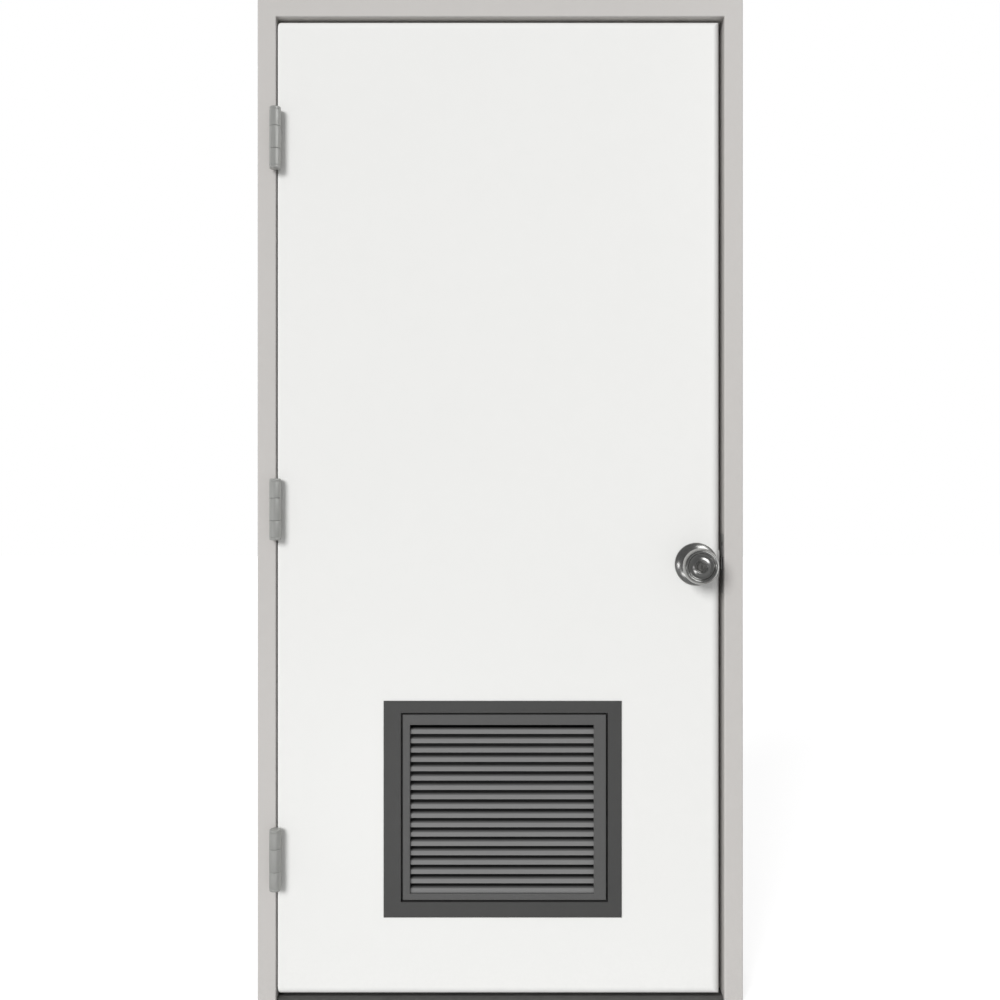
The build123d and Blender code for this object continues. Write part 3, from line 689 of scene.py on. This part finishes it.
class DOOR_OT_hinges(bpy.types.Operator):
    """Models the three hinges with rounded knuckles, plates, pins and screws"""

    bl_idname = "door.hinges"
    bl_label = "Hinges"

    def execute(self, context):
        frame_screws = []
        leaf_screws = []
        for place in HINGES:
            frame_places, leaf_places = self.hinge(place)
            frame_screws += frame_places
            leaf_screws += leaf_places
        screws_at("hinge_frame_screws", frame_screws, (1, 0, 0), "hinge_steel", "frame")
        screws_at("hinge_leaf_screws", leaf_screws, (-1, 0, 0), "hinge_steel", "leaf")
        return {"FINISHED"}

    def hinge(self, place):
        size = sizes()
        frame_node, leaf_node, pin_node = (
            f"{place}_hinge_{part}" for part in ("frame_leaf", "door_leaf", "pin"))
        pin_low, pin_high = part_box(pin_node)
        plate_low, plate_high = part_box(frame_node)
        axis = (pin_low + pin_high) / 2
        radius = plate_high.x - axis.x
        rabbet = axis.x - size.hinge_gap / 2
        edge = axis.x + size.hinge_gap / 2
        front = axis.y + radius + BARREL_CLEARANCE
        low, high = plate_low.z, plate_high.z
        height = high - low
        outer = (height - size.middle_knuckle) / 2 - size.knuckle_gap
        plates = {
            frame_node: (rabbet - size.hinge_plate, rabbet,
                         ((high - outer, high), (low, low + outer))),
            leaf_node: (edge, edge + size.hinge_plate,
                        ((axis.z - size.middle_knuckle / 2, axis.z + size.middle_knuckle / 2),)),
        }
        screw_depths = (0.010, 0.024)
        screw_heights = (0.016, 0.042, height - 0.042, height - 0.016)
        found = {}
        for node, (left, right, knuckles) in plates.items():
            plate = block(node + "_plate", (left, front, low), (right, plate_high.y, high))
            ease_edges(plate, PLATE_EDGE)
            face, outward = (right, 1.0) if node == frame_node else (left, -1.0)
            found[node] = [
                (face - outward * HINGE_SCREW_SINK, front + screw_depths[index % 2], low + z)
                for index, z in enumerate(screw_heights)]
            for screw in found[node]:
                countersink(plate, screw, (outward, 0, 0), size.screw_radius, COUNTERSINK_DEPTH)
            parts = [plate]
            for foot, top in knuckles:
                tongue = block(node + "_tongue", (left, axis.y, foot),
                               (right, front + TONGUE_LAP, top))
                parts.append(ease_edges(tongue, PLATE_EDGE))
                middle = (axis.x, axis.y, (foot + top) / 2)
                knuckle = rod(node + "_knuckle", middle, radius, top - foot)
                parts.append(ease_edges(knuckle, size.knuckle_edge, segments=3, angle=60.0))
            made = soften(join_pieces(node + "_shape", parts))
            body = "frame" if node == frame_node else "leaf"
            finish_piece(made, hinge_steel(), "hinge_steel", body, node)
        profile = [(0.0, pin_high.z), (0.0098, pin_high.z), (0.0110, pin_high.z - 0.0004),
                   (0.0115, pin_high.z - 0.0014), (0.0116, high + 0.0006), (0.0112, high),
                   (0.0048, high), (0.0048, low), (0.0112, low), (0.0116, low - 0.0006),
                   (0.0115, pin_low.z + 0.0014), (0.0110, pin_low.z + 0.0004),
                   (0.0098, pin_low.z), (0.0, pin_low.z)]
        pin = turned(pin_node + "_shape", profile, (axis.x, axis.y, 0.0), (0, 0, 1), steps=48,
                     smooth_levels=0)
        finish_piece(soften(pin, 40.0), hinge_steel(), "hinge_steel", "frame", pin_node)
        return found[frame_node], found[leaf_node]


class DOOR_OT_louver(bpy.types.Operator):
    """Paints the louver's flanges, insert and folded blades, and sets its screws"""

    bl_idname = "door.louver"
    bl_label = "Louver"

    def execute(self, context):
        colour = colours()
        powder = {"peel": 900.0, "clouds": 0.05, "dust": 0.0}
        flange = coat("louver_flange_coat", colour.flange_grey, 0.48, strength=0.35, **powder)
        paint_nodes(flange, "louver_outside_flange", "louver_inside_flange")
        insert = coat("louver_insert_coat", colour.insert_grey, 0.50, strength=0.35, **powder)
        paint_nodes(insert, "louver_insert")
        low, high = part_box("louver_blades")
        # The blades get painted shade deep in the slots between their front and back faces
        blade = coat("louver_blade_coat", colour.blade_grey, 0.50, strength=0.3, specular=0.3,
                     slot=(low.y, high.y), **powder)
        paint_nodes(blade, "louver_blades")
        low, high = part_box("louver_inside_flange")
        inset = LOUVER_SCREW_INSET
        columns = (low.x + inset, (low.x + high.x) / 2, high.x - inset)
        rows = (low.z + inset, (low.z + high.z) / 2, high.z - inset)
        places = [(x, high.y, z) for x in columns for z in rows
                  if (x, z) != (columns[1], rows[1])]
        screws_at("louver_inside_screws", places, (0, 1, 0), "lock_steel", "leaf")
        return {"FINISHED"}


class DOOR_OT_lock(bpy.types.Operator):
    """Turns the knobs, roses and key cylinder, and finishes the latch and strike"""

    bl_idname = "door.lock"
    bl_label = "Lock"

    # Radius and distance from the leaf's face, in millimetres
    knob_profile = (
        [(15.5, 3.0)] + arc((15.5, 20.0), (25.0, 38.2), (36.5, 50.4), 12)
        + arc((36.5, 50.4), (35.3, 60.0), (30.5, 66.0), 10)[1:]
        + arc((30.5, 66.0), (27.5, 64.0), (25.5, 61.0), 7)[1:] + [(24.8, 60.9), (19.0, 60.9)])
    rose_profile = (
        [(44.3, 0.1), (44.5, 0.4)] + arc((44.5, 2.2), (34.5, 8.5), (21.0, 11.0), 12)
        + [(17.2, 11.0), (16.7, 10.8), (16.5, 10.2), (16.5, 3.0)])
    keyed_face = [(18.6, 61.0), (14.6, 62.9), (13.8, 63.1), (13.0, 62.8), (11.6, 61.1),
                  (11.0, 60.9), (9.3, 60.9), (8.9, 60.5), (8.85, 54.0)]
    blind_face = [(6.0, 60.9), (0.0, 60.9)]

    def execute(self, context):
        self.side("outside", LEAF_FRONT, -1.0)
        self.side("inside", LEAF_BACK, 1.0)
        self.key_cylinder()
        self.turn_button()
        paint_nodes(plain_steel(), "lock_case", "latch_bolt", "knob_spindle")
        paint_nodes(plated_steel(), "latch_face_plate", "strike_plate")
        strike_low, strike_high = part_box("strike_plate")
        middle = (strike_low + strike_high) / 2
        places = [(strike_low.x, middle.y, middle.z + shift)
                  for shift in (-STRIKE_SCREW_SHIFT, STRIKE_SCREW_SHIFT)]
        screws_at("strike_screws", places, (-1, 0, 0), "lock_steel", "frame")
        plate_low, plate_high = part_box("latch_face_plate")
        middle = (plate_low + plate_high) / 2
        places = [(plate_high.x - FACE_SCREW_SINK, middle.y, middle.z + shift)
                  for shift in (-FACE_SCREW_SHIFT, FACE_SCREW_SHIFT)]
        screws_at("face_plate_screws", places, (1, 0, 0), "lock_steel", "leaf")
        return {"FINISHED"}

    def side(self, side, face, out):
        """The knob and rose on one face of the leaf."""
        knob_face = self.keyed_face if side == "outside" else self.blind_face
        centre = (LOCK.x, face, LOCK.z)
        for part, body, points in (("knob", "knob", self.knob_profile + knob_face),
                                   ("rose", "leaf", self.rose_profile)):
            profile = [(radius / MM_PER_M, along / MM_PER_M) for radius, along in points]
            piece = turned(f"{side}_{part}_turned", profile, centre, (0, out, 0))
            finish_piece(soften(piece, 50.0), lock_satin(), "lock_chrome", body, f"{side}_{part}")

    def key_cylinder(self):
        low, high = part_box("key_cylinder")
        depth = high.y - low.y
        profile = [(0.0, -0.0016), (0.0060, -0.0016), (0.0061, -0.0024), (0.0064, -0.0024),
                   (0.0066, -0.0006), (0.0070, 0.0), (0.0082, 0.0), (0.0086, -0.0004),
                   (0.0088, -0.0010), (0.0088, -depth), (0.0, -depth)]
        piece = turned("key_cylinder_turned", profile, (LOCK.x, low.y, LOCK.z), (0, -1, 0),
                       smooth_levels=0)
        # A tall slot and a wide one make the keyway
        for half_width, half_height in ((0.0012, 0.0046), (0.0023, 0.0016)):
            slot = block("keyway",
                         (LOCK.x - half_width, low.y - 0.002, LOCK.z - half_height),
                         (LOCK.x + half_width, low.y + 0.0085, LOCK.z + half_height))
            cut_away(piece, slot)
        nickel = metal("plug_nickel_turned", colours().plug_nickel, 0.26, (2400, 2400, 1),
                       depth=0.15, rings=True)
        finish_piece(soften(piece, 35.0), nickel, "key_cylinder_nickel", "knob", "key_cylinder")

    def turn_button(self):
        low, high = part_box("turn_button")
        piece = block("turn_button_shape", low, high)
        ease_edges(piece, BUTTON_EDGE, segments=4)
        finish_piece(soften(piece, 40.0), lock_satin(), "lock_chrome", "knob", "turn_button")


class DOOR_OT_threshold(bpy.types.Operator):
    """Finishes the threshold and the seals"""

    bl_idname = "door.threshold"
    bl_label = "Threshold and seals"

    def execute(self, context):
        bronze = metal("threshold_dark_anodised", colours().bronze, 0.42, (14, 900, 900),
                       depth=0.18, bump=0.00004, strength=0.25, metallic=0.6)
        paint_nodes(bronze, "threshold")
        paint_nodes(seal_rubber(), "hinge_seal", "strike_seal", "head_seal")
        return {"FINISHED"}


class DOOR_OT_stage(bpy.types.Operator):
    """Sets the floor, the lights and the camera"""

    bl_idname = "door.stage"
    bl_label = "Stage"

    room_strength = 0.36
    floor_drop = 0.0004
    floor_glow = 0.7
    tent_middle = (0.0, -3.4, 3.4998)
    tent_size = (13.0, 7.6, 7.0)
    key_place = (-1.6, -3.0, 2.35)
    key_strength = 2.33
    key_angle = 26.0
    # Name, place, watts and size of the lamps that only reflections show
    boxes = (("upper_box", (2.4, -2.6, 3.0), 52.0, (2.0, 2.8)),
             ("lower_box", (-2.6, -2.8, 0.1), 15.0, (1.1, 1.5)),
             ("ground_box", (-0.2, -1.2, 0.05), 1.8, (0.5, 0.4)))
    camera_side = -0.0004
    lens_shift = -0.025

    def execute(self, context):
        self.world(context.scene)
        self.floor()
        self.tent()
        self.lights()
        self.camera(context.scene)
        context.scene.view_settings.view_transform = "Standard"
        return {"FINISHED"}

    def seen_directly(self, tree):
        """1 for rays from the camera, and for those that metal or glass sends on."""
        path = tree.nodes.new("ShaderNodeLightPath")
        seen = combine(tree, "MAXIMUM", path.outputs["Is Camera Ray"],
                       path.outputs["Is Glossy Ray"])
        return combine(tree, "MAXIMUM", seen, path.outputs["Is Transmission Ray"])

    def world(self, scene):
        scene.world = scene.world or bpy.data.worlds.new("Studio")
        scene.world.use_nodes = True
        tree = scene.world.node_tree
        tree.nodes.clear()
        room = tree.nodes.new("ShaderNodeBackground")
        room.inputs["Color"].default_value = (1.0, 1.0, 1.0, 1.0)
        room.inputs["Strength"].default_value = self.room_strength
        white = tree.nodes.new("ShaderNodeBackground")
        white.inputs["Color"].default_value = (1.0, 1.0, 1.0, 1.0)
        white.inputs["Strength"].default_value = 1.0
        mix = tree.nodes.new("ShaderNodeMixShader")
        out = tree.nodes.new("ShaderNodeOutputWorld")
        tree.links.new(self.seen_directly(tree), mix.inputs["Fac"])
        tree.links.new(room.outputs["Background"], mix.inputs[1])
        tree.links.new(white.outputs["Background"], mix.inputs[2])
        tree.links.new(mix.outputs["Shader"], out.inputs["Surface"])

    def floor(self):
        clear_selection()
        bpy.ops.mesh.primitive_plane_add(size=24.0, location=(0.0, 0.0, -self.floor_drop))
        floor = settle("studio_floor")
        material, tree, shader, vector = start_material("studio_floor_white")
        grain = noise(tree, vector, 30.0, 2.0)
        shader.inputs["Base Color"].default_value = (0.75, 0.75, 0.75, 1.0)
        tree.links.new(remap(tree, grain, 0.85, 0.95), shader.inputs["Roughness"])
        shader.inputs["Specular IOR Level"].default_value = 0.0
        shader.inputs["Emission Color"].default_value = (1.0, 1.0, 1.0, 1.0)
        tree.links.new(combine(tree, "MULTIPLY", self.seen_directly(tree), self.floor_glow),
                       shader.inputs["Emission Strength"])
        floor.data.materials.append(material)

    def tent(self):
        """A dark tent in front of the door, which only polished surfaces see."""
        clear_selection()
        bpy.ops.mesh.primitive_cube_add(size=1.0, location=self.tent_middle, scale=self.tent_size)
        tent = settle("studio_tent")
        select_faces(tent, lambda centre, normal: normal.y > 0.5)
        bpy.ops.mesh.delete(type="FACE")
        bpy.ops.mesh.select_all(action="SELECT")
        bpy.ops.mesh.subdivide(number_cuts=4)
        bpy.ops.object.mode_set(mode="OBJECT")
        material, tree, shader, vector = start_material("studio_tent_cloth")
        shader.inputs["Base Color"].default_value = (0.42, 0.42, 0.42, 1.0)
        rough = remap(tree, noise(tree, vector, 4.0), 0.9, 1.0)
        tree.links.new(rough, shader.inputs["Roughness"])
        tent.data.materials.append(material)
        tent.visible_camera = False
        tent.visible_diffuse = False
        tent.visible_shadow = False
        tent.visible_transmission = False

    def lamp(self, name, kind, place, energy, **values):
        data = bpy.data.lights.new(name, kind)
        data.energy = energy
        for label, value in values.items():
            setattr(data, label, value)
        lamp = bpy.data.objects.new(name, data)
        bpy.context.scene.collection.objects.link(lamp)
        lamp.location = place
        aim = Vector((0.0, 0.0, 1.0)) - Vector(place)
        lamp.rotation_mode = "QUATERNION"
        lamp.rotation_quaternion = aim.to_track_quat("-Z", "Y")
        return lamp

    def lights(self):
        key = self.lamp("key", "SUN", self.key_place, self.key_strength,
                        angle=math.radians(self.key_angle))
        key.visible_glossy = False
        for name, place, energy, (width, height) in self.boxes:
            box = self.lamp(name, "AREA", place, energy, shape="RECTANGLE", size=width,
                            size_y=height)
            box.visible_camera = False
            box.visible_diffuse = False

    def camera(self, scene):
        size = sizes()
        data = bpy.data.cameras.new("camera")
        data.lens = size.lens
        data.sensor_width = 36.0
        data.shift_y = self.lens_shift
        camera = bpy.data.objects.new("camera", data)
        scene.collection.objects.link(camera)
        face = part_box("head")[0].y
        camera.location = (self.camera_side, face - size.camera_distance, size.camera_height)
        camera.rotation_euler = (math.pi / 2, 0.0, 0.0)
        scene.camera = camera


OPERATORS = (DOOR_OT_frame, DOOR_OT_leaf, DOOR_OT_hinges, DOOR_OT_louver, DOOR_OT_lock,
             DOOR_OT_threshold, DOOR_OT_stage)


class DOOR_PT_panel(bpy.types.Panel):
    """Lists the door's pieces, sizes and colours"""

    bl_idname = "DOOR_PT_panel"
    bl_label = "Prehung steel door"
    bl_space_type = "VIEW_3D"
    bl_region_type = "UI"
    bl_category = "Door"

    def draw(self, context):
        for operator in OPERATORS:
            self.layout.operator(operator.bl_idname)
        for group in (context.scene.door_sizes, context.scene.door_colours):
            for label in group.bl_rna.properties.keys():
                if label not in ("rna_type", "name"):
                    self.layout.prop(group, label)


CLASSES = (DoorSizes, DoorColours, *OPERATORS, DOOR_PT_panel)


def register():
    for item in CLASSES:
        bpy.utils.register_class(item)
    bpy.types.Scene.door_sizes = bpy.props.PointerProperty(type=DoorSizes)
    bpy.types.Scene.door_colours = bpy.props.PointerProperty(type=DoorColours)


def unregister():
    del bpy.types.Scene.door_colours
    del bpy.types.Scene.door_sizes
    for item in reversed(CLASSES):
        bpy.utils.unregister_class(item)


def main():
    register()
    bpy.ops.door.frame()
    bpy.ops.door.leaf()
    bpy.ops.door.hinges()
    bpy.ops.door.louver()
    bpy.ops.door.lock()
    bpy.ops.door.threshold()
    bpy.ops.door.stage()


if __name__ == "__main__":
    main()
